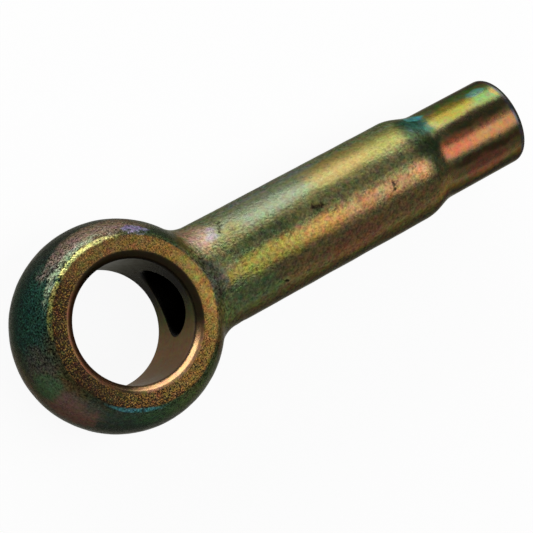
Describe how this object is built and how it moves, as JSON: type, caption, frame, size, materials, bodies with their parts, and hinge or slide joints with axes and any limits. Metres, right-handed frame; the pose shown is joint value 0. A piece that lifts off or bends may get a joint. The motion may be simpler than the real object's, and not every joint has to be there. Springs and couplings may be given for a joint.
{
  "type": "rod end eye",
  "caption": "One-piece forged rod end eye: ball-shaped eye with flat faces and a chamfered pin bore, round shank with a soft shoulder and thinner spigot, and a hole along the shank.",
  "frame": {"origin": "centre of the eye's pin bore, midway between the two flat faces", "axes": "+Z along the pin bore, +X along the shank from the eye to the spigot's end"},
  "size_m": [0.1209, 0.0434, 0.026],
  "materials": {
    "plated_steel": "yellow chromated zinc with green, gold and pink tints, on a blasted forged surface"
  },
  "bodies": {
    "root": {"rod_end_eye": "plated_steel"}
  },
  "joints": []
}
